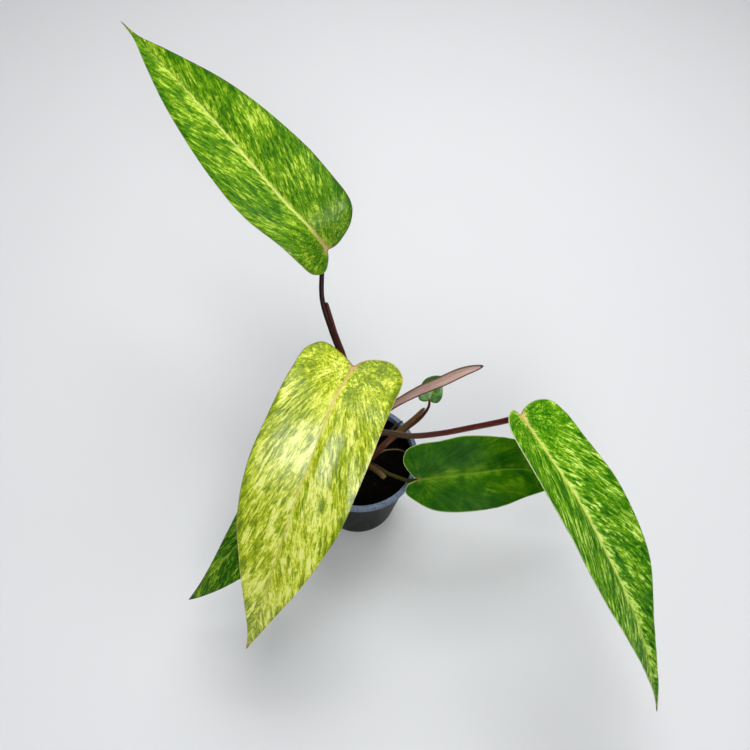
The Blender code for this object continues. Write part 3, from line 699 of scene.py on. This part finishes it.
LIME = [(99, 124, 2), (124, 150, 3), (148, 168, 6), (184, 198, 20), (218, 227, 80), (234, 241, 114), (237, 239, 148)]
GREEN = [(36, 86, 2), (50, 104, 2), (66, 117, 3), (81, 132, 3), (107, 153, 6), (142, 175, 29), (188, 214, 77)]
GREEN2 = [(16, 77, 2), (34, 99, 2), (55, 119, 3), (76, 136, 4), (107, 160, 10), (151, 196, 44), (212, 240, 122)]
DARK = [(14, 58, 1), (19, 67, 1), (26, 76, 1), (38, 87, 2), (56, 102, 3), (78, 119, 8), (98, 142, 24)]
REAR = [(12, 58, 2), (24, 72, 2), (38, 88, 3), (56, 104, 5), (80, 126, 10), (110, 150, 22), (146, 182, 44)]

MATS = {
    "front": dict(stops=quant(LIME), rib_colour=(196, 188, 92), base_pink=((206, 160, 116), 0.30), edge_colour=(112, 74, 40),
                  edge_left=(214, 188, 134), edge_far=(218, 196, 146), tip_colour=(150, 80, 50), seed=1.0, patch=0.5, rib_width=1.15, rib_mix=0.72, rough=0.33,
                  rib_glow=0.05, margin_shade=0.10, base_shade=0.085, dabbed=0.25, haze=0.8, gloss=0.28, weights=(0.20, 0.26, 0.18), spread=0.115),
    "top": dict(stops=quant(GREEN), rib_colour=(206, 214, 118), base_pink=((206, 172, 116), 0.14), edge_colour=(84, 66, 30),
                edge_left=(150, 160, 84), tip_colour=(96, 36, 56), seed=2.0, patch=0.5, rib_width=1.45, rib_mix=0.9, rough=0.42,
                rib_glow=0.10, margin_shade=0.08, haze=0.10, cell=(1.5, 3.6), rib_end=0.12, spread=0.125),
    "right": dict(stops=quant(GREEN2), rib_colour=(198, 208, 96), base_pink=((214, 176, 112), 0.10), edge_colour=(206, 214, 160),
                  edge_left=(150, 172, 80), tip_colour=(62, 36, 30), seed=3.0, patch=0.4, rib_width=1.4, rib_mix=0.92, rough=0.42,
                  rib_glow=0.15, margin_shade=0.02, haze=0.10, cell=(1.3, 4.2), rib_end=0.2, mottle=0.22),
    "low": dict(stops=quant(DARK), rib_colour=(86, 122, 32), base_pink=((92, 118, 38), 0.2), edge_colour=(150, 178, 104),
                tip_colour=(90, 60, 40), seed=4.0, cell=(2.4, 9.0), weights=(0.06, 0.10, 0.04), patch=0.6, fine_gain=0.3,
                rib_width=1.2, rib_mix=0.75, rough=0.36, vein_light=0.22, vein_colour=(78, 124, 28), rib_glow=0.10,
                margin_shade=0.0, spread=0.12, haze=0.02, gloss=0.3, rib_end=0.2, patch_size=(18.0, 18.0), mottle=0.16, bands=0.12, spec=0.03, dabbed=0.85),
    "rear": dict(stops=quant(REAR), rib_colour=(160, 176, 76), base_pink=((170, 140, 84), 0.2), edge_colour=(90, 84, 40),
                 tip_colour=(110, 60, 40), seed=5.0, patch=0.45, rib_width=0.9, rough=0.42, haze=0.14, rib_mix=0.35, rib_glow=0.06, cell=(1.5, 4.4)),
    "young": dict(stops=quant([(30, 82, 14), (36, 92, 16), (44, 100, 18), (54, 110, 22), (70, 124, 32), (88, 138, 42), (110, 154, 60)]),
                  rib_colour=(110, 146, 60), base_pink=((120, 120, 60), 0.2), edge_colour=(60, 96, 34),
                  tip_colour=(110, 70, 50), seed=6.0, cell=(1.2, 4.0), weights=(0.1, 0.1, 0.06), patch=0.8, rib_width=0.6,
                  rough=0.34, vein_light=0.1, haze=0.5, patch_size=(8.0, 8.0), rib_glow=0.05, margin_shade=0.0, dabbed=0.9),
}


def wear(obj, cad, mats):
    for m in mats:
        obj.data.materials.append(m)
    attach(obj, "root")
    for node in cad if isinstance(cad, (list, tuple)) else [cad]:
        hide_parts(node)
    return obj


# ================================================================ leaves
for key, spec in MATS.items():
    small = key == "young"
    obj = build_blade("blade_" + key, LEAVES[key], 60 if small else 170,
                      0.5 if small else BLADE_THICK, 0.35 if small else 0.45,
                      0.35 if small else MIDRIB_DEPTH, seed=int(spec["seed"]) + 10,
                      channel=0.15 if small else 0.5, relief=0.05 if small else (0.09 if key == "low" else 0.12),
                      wave=0.2 if small else 0.9, relief_pitch=4.0 if small else 9.0,
                      lean={"front": 2.5, "top": 2.25, "rear": 3.6, "low": 2.4}.get(key, 2.0),
                      puff=1.6 if key == "front" else 0.0)
    over = blade_material("leaf_%s_upper" % key, **spec)
    spec_u = dict(spec, rib_width=spec["rib_width"] * 1.2)
    below = blade_material("leaf_%s_under" % key, under=True, **spec_u)
    wear(obj, "leaf_" + key, [over, below])

# ================================================================ petioles
MAROON = stalk_material("petiole_maroon", (74, 58, 40), (80, 36, 27), (80, 25, 18), 1.0, low_to=0.36, mid_at=0.52, high_at=0.7, fleck=(132, 84, 64), spec=0.22)
MAROON_DARK = stalk_material("petiole_dark_maroon", (70, 40, 30), (62, 20, 13), (28, 7, 3), 2.0, mid_at=0.2, high_at=0.72, fleck=(84, 36, 27), spec=0.1)
OLIVE = stalk_material("petiole_olive_green", (62, 56, 30), (70, 66, 32), (66, 66, 26), 3.0, fleck=(120, 104, 70))
SHEATH = stalk_material("petiole_sheath", (74, 36, 26), (84, 28, 20), (68, 22, 15), 7.0, mid_at=0.3, high_at=0.9, fleck=(112, 52, 38), spec=0.14)
THIN_RED = stalk_material("petiole_thin_red", (70, 44, 30), (80, 34, 24), (66, 24, 18), 8.0, mid_at=0.5, high_at=0.8, fleck=(110, 70, 54))
WING = stalk_material("petiole_winged", (84, 46, 36), (92, 74, 34), (98, 66, 40), 4.0, low_to=0.42, mid_at=0.62, high_at=0.9, fleck=(150, 122, 84))


def stalk_shape(groove=0.12, foot=0.18, knee=0.12, knee_run=11.0):
    def f(theta, s, total, r):
        k = 1 - groove * np.exp(-(np.minimum(theta, 2 * math.pi - theta) / 0.55) ** 2) * smooth(6, 25, s)
        k = k * (1 + foot * math.exp(-s / 6.0)) * (1 + knee * math.exp(-((total - s) / knee_run) ** 2))
        return r * k
    return f


def nub_shape(theta, s, total, r):
    """A sheath that stops in a blunt rounded end."""
    return r * math.sqrt(max(1 - smooth(total - 1.6, total, s) * 0.75, 0.0)) * (1 - 0.10 * np.abs(np.sin(theta)))


def trough_shape(theta, s, total, r):
    u = s / total
    on = smooth(0.05, 0.25, u)
    dip = 1 - 0.42 * on * np.exp(-(np.minimum(theta, 2 * math.pi - theta) / 0.7) ** 2)
    end = math.sqrt(max(1 - smooth(total - 2.2, total, s) * 0.72, 0.0))
    return r * dip * end


LOW_STALK = PETIOLES["low"][:4] + [(30.2, -17.6, 82, 1.6), (34.1, -21.2, 86.2, 1.55), (38.7, -25.6, 91.5, 1.55),
                                   (43.4, -28.3, 96.2, 1.6), (47.2, -28.9, 99.6, 1.6)]
for key, mat, slot, shape in (
        ("front", MAROON, "petiole_red", stalk_shape()),
        ("right", MAROON, "petiole_red", stalk_shape()),
        ("low", OLIVE, "petiole_olive", stalk_shape(knee=0.06, foot=0.05)),
        ("rear", MAROON, "petiole_red", stalk_shape())):
    wear(tubes("stalk_" + key, tube(LOW_STALK if key == "low" else PETIOLES[key], shape=shape)), "petiole_" + key, [mat])

# the upper petiole carries a sheath on one flank that ends in a small step
UPPER_STALK = [(-3.2, 4.4, 90.4, 3.0), (-4.9, 12, 105, 2.7), (-8.8, 27, 126, 2.35), (-14.9, 46, 157, 2.15),
               (-23.8, 61.2, 175.6, 2.05), (-31.4, 76.7, 195.6, 1.95), (-31.9, 88, 211, 1.85),
               (-30.6, 96.3, 222.5, 1.85), (-28.8, 98.4, 228.8, 1.75)]
UPPER_SHEATH = [(-2.4, 4.6, 91, 2.6), (-3.5, 12, 105.2, 2.4), (-6.7, 26.9, 126.3, 2.1), (-12.4, 45.7, 157.3, 1.9),
                (-21.0, 60.6, 175.8, 1.8), (-24.9, 68.6, 185.2, 1.75), (-28.3, 75.7, 193.8, 1.6)]
wear(tubes("stalk_top", tube(UPPER_STALK, shape=stalk_shape(foot=0.05)), tube(UPPER_SHEATH, shape=nub_shape, slot=1)),
     "petiole_top", [MAROON_DARK, SHEATH])

# the young petiole is winged up to a blunt step, then a thin red stalk
YOUNG_WING = [(10.6, 0.6, 80, 2.8), (17.4, 2.5, 92, 2.8), (24.5, 5.6, 101.2, 2.7), (34.6, 10.4, 112.3, 2.5),
              (43.4, 13.9, 122.4, 2.1), (51.7, 18.4, 132.6, 1.5)]
YOUNG_STALK = [(26, 5.4, 101, 1.3), (36.4, 9.4, 111.4, 1.5), (47.6, 12.9, 123.8, 1.45), (52.4, 15.3, 131.4, 1.25),
               (54.8, 17.6, 137, 1.1), (55.1, 20.4, 141.4, 0.9)]
wear(tubes("stalk_young", tube(YOUNG_WING, shape=trough_shape, up=(-0.2, -0.5, 0.8)), tube(YOUNG_STALK, slot=1)),
     "petiole_young", [WING, THIN_RED])

# ================================================================ cataphyll
obj = build_blade("sheath_leaf", CATAPHYLL, 120, 0.7, 0.35, 0.0, curl=-0.02, seed=31, lean=6.0,
                  channel=0.0, relief=0.0, wave=0.15)
wear(obj, "cataphyll", [
    cataphyll_material("cataphyll_inner", (124, 82, 72), (210, 180, 168), (98, 76, 46), (64, 24, 22), (158, 116, 104), 1.0),
    cataphyll_material("cataphyll_outer", (96, 52, 42), (140, 84, 68), (92, 70, 44), (72, 30, 26), (112, 58, 46), 2.0)])

# ================================================================ stub, root, scrap
STUB_MAT = stalk_material("stub_tan", (66, 44, 28), (76, 60, 32), (104, 88, 50), 5.0, mid_at=0.55, high_at=0.95, fleck=(122, 98, 62), spec=0.15)
obj = tubes("cut_stub", tube(CUT_STUB, shape=lambda th, s, total, r: r * (1 - 0.10 * smooth(0.0, 1.0, s / total) - 0.16 * smooth(0.86, 1.0, s / total)
                                                    + 0.03 * np.sin(3 * th + s))))
wear(obj, "cut_petiole_stub", [STUB_MAT])
obj = tubes("thin_root", tube(AERIAL_ROOT, sides=10, shape=lambda th, s, total, r: r * (1 + 0.10 * np.sin(s * 1.7) + 0.05 * np.sin(2 * th + s))))
wear(obj, "aerial_root", [dry_material("root_skin", (74, 60, 42), (126, 106, 78))])
obj = tubes("scrap", tube(DRY_SCRAP, sides=12, shape=lambda th, s, total, r: r * (0.55 + 0.5 * np.abs(np.cos(th + s * 0.12))) * (1 + 0.15 * np.sin(s * 1.3))))
wear(obj, "dry_scrap", [dry_material("scrap_skin", (34, 27, 24), (70, 54, 44))])

# ================================================================ pot
lip_z = POT_HEIGHT - POT_LIP_HEIGHT


def outer_r(z):
    return POT_BASE_R + (POT_SHOULDER_R - POT_BASE_R) * z / lip_z


def inner_r(z):
    return outer_r(min(z, lip_z)) - POT_WALL


def fillet(points, radius, n=6):
    """Rounds each inner corner of a profile."""
    out = [points[0]]
    for a, b, c in zip(points, points[1:], points[2:]):
        a, b, c = map(np.array, (a, b, c))
        u, v = a - b, c - b
        lu, lv = np.linalg.norm(u), np.linalg.norm(v)
        k = min(radius, lu * 0.45, lv * 0.45)
        p, q = b + u / lu * k, b + v / lv * k
        for i in range(n + 1):
            t = i / n
            out.append(tuple((1 - t) ** 2 * p + 2 * t * (1 - t) * b + t * t * q))
    out.append(points[-1])
    return out


profile = [
    (0, POT_FLOOR), (inner_r(POT_FLOOR), POT_FLOOR), (inner_r(40), 40), (inner_r(lip_z), lip_z),
    (POT_MOUTH_R - 0.2, POT_HEIGHT - 1.4), (POT_MOUTH_R + 0.3, POT_HEIGHT), (POT_MOUTH_R + 2.2, POT_HEIGHT),
    (POT_MOUTH_R + 2.45, POT_HEIGHT - 0.28), (POT_MOUTH_R + 2.7, POT_HEIGHT),
    (POT_RIM_R, POT_HEIGHT), (POT_RIM_R - 0.1, POT_HEIGHT - 2.8),
    (POT_RIM_R - 0.4, lip_z), (POT_SHOULDER_R + 0.9, lip_z), (POT_SHOULDER_R - 0.4, lip_z - 1.4),
    (outer_r(66), 66), (outer_r(66) - 0.35, 65.6), (outer_r(12) + 0.1, 12), (outer_r(2.2), 2.2), (POT_BASE_R - 0.9, 0), (0, 0)]
pot = revolve("pot_shell", fillet(profile, 0.75, 5), 192)
for k in range(DRAIN_HOLES):
    a = 2 * math.pi * (k + 0.5) / DRAIN_HOLES
    bm = bmesh.new()
    bmesh.ops.create_cone(bm, cap_ends=True, segments=32, radius1=DRAIN_HOLE_R * MM,
                          radius2=DRAIN_HOLE_R * MM, depth=3 * POT_FLOOR * MM)
    mesh = bpy.data.meshes.new("cut")
    bm.to_mesh(mesh)
    bm.free()
    cut = bpy.data.objects.new("cut", mesh)
    cut.location = (DRAIN_RING_R * MM * math.cos(a), DRAIN_RING_R * MM * math.sin(a), POT_FLOOR * MM / 2)
    bpy.context.scene.collection.objects.link(cut)
    mod = pot.modifiers.new("hole", "BOOLEAN")
    mod.operation, mod.solver, mod.object = "DIFFERENCE", "EXACT", cut
    bpy.context.view_layer.update()
    done = bpy.data.meshes.new_from_object(pot.evaluated_get(bpy.context.evaluated_depsgraph_get()))
    pot.modifiers.clear()
    pot.data = done
    bpy.data.objects.remove(cut, do_unlink=True)
for f in pot.data.polygons:
    f.use_smooth = True
pot.data.set_sharp_from_angle(angle=math.radians(40))
wear(pot, "nursery_pot", [plastic_material()])

# ================================================================ soil
rng = np.random.RandomState(7)
n1, n2, n3 = Lattice(3), Lattice(4), Lattice(5)
soil_floor = POT_FLOOR + FIT_GAP
rings, segs = 70, 150
rim_r = inner_r(SOIL_TOP) - FIT_GAP
verts, faces, tone = [], [], []
for i in range(rings + 1):
    r = rim_r * (i / rings) ** 0.9 if i else 0.0
    for k in range(segs):
        a = 2 * math.pi * k / segs
        x, y = r * math.cos(a), r * math.sin(a)
        h = SOIL_TOP + 1.3 * math.exp(-(r / 16) ** 2)
        h += 0.9 * float(n1(np.array(x / 9 + 20), np.array(y / 9 + 20)))
        h += 0.55 * float(n2(np.array(x / 2.6 + 40), np.array(y / 2.6 + 40)))
        h += 0.28 * float(n3(np.array(x / 0.9 + 60), np.array(y / 0.9 + 60)))
        h -= 1.0 * smooth(rim_r - 4, rim_r, r)
        verts.append((x, y, h))
        tone.append(0.0)
for i in range(rings):
    for k in range(segs):
        n = (k + 1) % segs
        faces.append([i * segs + k, (i + 1) * segs + k, (i + 1) * segs + n, i * segs + n])
top_ring = [rings * segs + k for k in range(segs)]
low = []
for z in (40.0, soil_floor):
    low.append(list(range(len(verts), len(verts) + segs)))
    for k in range(segs):
        a = 2 * math.pi * k / segs
        r = inner_r(z) - FIT_GAP - (0.1 if z == soil_floor else 0)
        verts.append((r * math.cos(a), r * math.sin(a), z))
        tone.append(0.0)
prev = top_ring
for ring in low:
    for k in range(segs):
        n = (k + 1) % segs
        faces.append([prev[k], ring[k], ring[n], prev[n]])
    prev = ring
faces.append(prev[::-1])
ico = bmesh.new()
bmesh.ops.create_icosphere(ico, subdivisions=2, radius=1.0)
ico_v = np.array([v.co[:] for v in ico.verts])
ico_f = [[v.index for v in f.verts] for f in ico.faces]
ico.free()
for k in range(520):
    r = (rim_r - 2.0) * math.sqrt(rng.rand())
    a = 2 * math.pi * rng.rand()
    size = 0.45 + 1.5 * rng.rand() ** 2.2
    stretch = np.array([1.0, 0.6 + 0.5 * rng.rand(), 0.45 + 0.3 * rng.rand()]) * size
    spin = Matrix.Rotation(2 * math.pi * rng.rand(), 3, "Z") @ Matrix.Rotation(0.7 * (rng.rand() - 0.5), 3, "X")
    p = ico_v * (1 + 0.22 * (rng.rand(len(ico_v), 1) - 0.5)) * stretch
    p = p @ np.array(spin).T
    x, y = r * math.cos(a), r * math.sin(a)
    z = SOIL_TOP + 1.3 * math.exp(-(r / 16) ** 2) + 0.9 * float(n1(np.array(x / 9 + 20), np.array(y / 9 + 20))) + 0.1 * size
    if r > rim_r - 4:
        z -= 0.6
    t = rng.rand() ** 3
    base = len(verts)
    verts.extend((p + np.array([x, y, z])).tolist())
    tone.extend([t] * len(p))
    faces.extend([[base + q for q in f] for f in ico_f])
soil = mesh_object("soil", verts, faces, [("tone", tone)], merge=0)
bm = bmesh.new()
bm.from_mesh(soil.data)
bmesh.ops.remove_doubles(bm, verts=[v for v in bm.verts if v.co.xy.length < 1e-5], dist=1e-5)
bm.to_mesh(soil.data)
bm.free()
wear(soil, "potting_soil", [soil_material()])

# ================================================================ stem
heap = SOIL_TOP + SOIL_CROWN
stem_profile = [(0, STEM_TOP), (4, STEM_TOP - 0.1), (6.4, STEM_TOP - 0.4), (7.6, STEM_TOP - 1.6), (7.3, STEM_TOP - 4.6),
                (7.9, STEM_TOP - 6.2), (8.0, STEM_TOP - 7.0), (7.4, STEM_TOP - 8.2), (7.5, STEM_TOP - 12), (7.9, STEM_TOP - 13.2),
                (7.4, heap + 0.5), (6.8, heap - 4), (5.5, heap - 8.5), (0, heap - 8.6)]
stem = revolve("crown_stem", fillet(stem_profile, 0.8, 4), 72)
co = np.array([v.co[:] for v in stem.data.vertices]) / MM
ang = np.arctan2(co[:, 1], co[:, 0])
push = 0.22 * n1(ang * 3 + 30, co[:, 2] / 4) + 0.10 * n2(ang * 9 + 30, co[:, 2] / 2) - 0.2
rad = np.hypot(co[:, 0], co[:, 1])
k = np.where(rad > 1, 1 + push / np.maximum(rad, 1), 1.0)
co[:, 0] *= k
co[:, 1] *= k
stem.data.vertices.foreach_set("co", (co * MM).astype(np.float32).ravel())
stem.data.update()
wear(stem, "main_stem", [stem_material()])

# ================================================================ stage
bm = bmesh.new()
bmesh.ops.create_grid(bm, x_segments=1, y_segments=1, size=6.0)
floor_mesh = bpy.data.meshes.new("floor")
bm.to_mesh(floor_mesh)
bm.free()
floor = bpy.data.objects.new("floor", floor_mesh)
bpy.context.scene.collection.objects.link(floor)
g = Graph("floor_pale")
floor_mesh.materials.append(g.finish(lin((223, 224, 226)), 0.9, None, Specular_IOR_Level=0.1))

world = bpy.data.worlds.new("studio")
bpy.context.scene.world = world
world.use_nodes = True
bg = next(n for n in world.node_tree.nodes if n.type == "BACKGROUND")
bg.inputs["Color"].default_value = (0.96, 0.98, 1.0, 1)
bg.inputs["Strength"].default_value = 0.14


def area(name, at, aim, size, power, colour=(1, 1, 1), glossy=True):
    light = bpy.data.lights.new(name, "AREA")
    light.shape, light.size, light.energy, light.color = "SQUARE", size, power, colour
    obj = bpy.data.objects.new(name, light)
    obj.location = at
    obj.rotation_euler = (Vector(aim) - Vector(at)).to_track_quat("-Z", "Y").to_euler()
    obj.visible_glossy = glossy
    bpy.context.scene.collection.objects.link(obj)
    return obj


area("front_box", (0.11, -1.14, 1.24), (-0.03, -0.06, 0.18), 0.6, 10.1, (0.98, 0.988, 1.0))
area("top_box", (0.02, -0.15, 1.65), (0.02, -0.05, 0.1), 0.5, 4.0, (0.97, 0.985, 1.0))
area("back", (0.1, 0.6, 1.3), (0.08, 0.25, 0.0), 0.8, 13.3, (1.0, 1.0, 1.0), False)
area("left", (-1.5, 0.25, 1.2), (-0.05, 0, 0.1), 1.2, 1.9, (0.99, 0.99, 1.0), False)
area("right", (1.5, 0.25, 1.3), (0, 0, 0.1), 1.2, 1.6, (1.0, 0.995, 0.99), False)
# a small reflector card: it only adds a soft sheen
card = area("card", (0.73, -1.13, 0.93), (0.12, -0.02, 0.115), 0.4, 14.0, (0.96, 0.98, 1.0))
card.visible_diffuse = False
card.visible_camera = False

# ================================================================ camera
cam_data = bpy.data.cameras.new("camera")
cam_data.sensor_width = 36.0
cam_data.lens = 36.0 * 752.0 / 750.0
cam_data.clip_start, cam_data.clip_end = 0.01, 50.0
camera = bpy.data.objects.new("camera", cam_data)
bpy.context.scene.collection.objects.link(camera)
fwd = Vector((0.0289, 0.5611, -0.8273)).normalized()
right = Vector((0.9994, 0.0, 0.0349))
right = (right - right.dot(fwd) * fwd).normalized()
up = right.cross(fwd)
camera.matrix_world = Matrix.Translation((-0.0062, -0.2998, 0.6482)) @ Matrix((right, up, -fwd)).transposed().to_4x4()
bpy.context.scene.camera = camera
bpy.context.scene.view_settings.view_transform = "Standard"
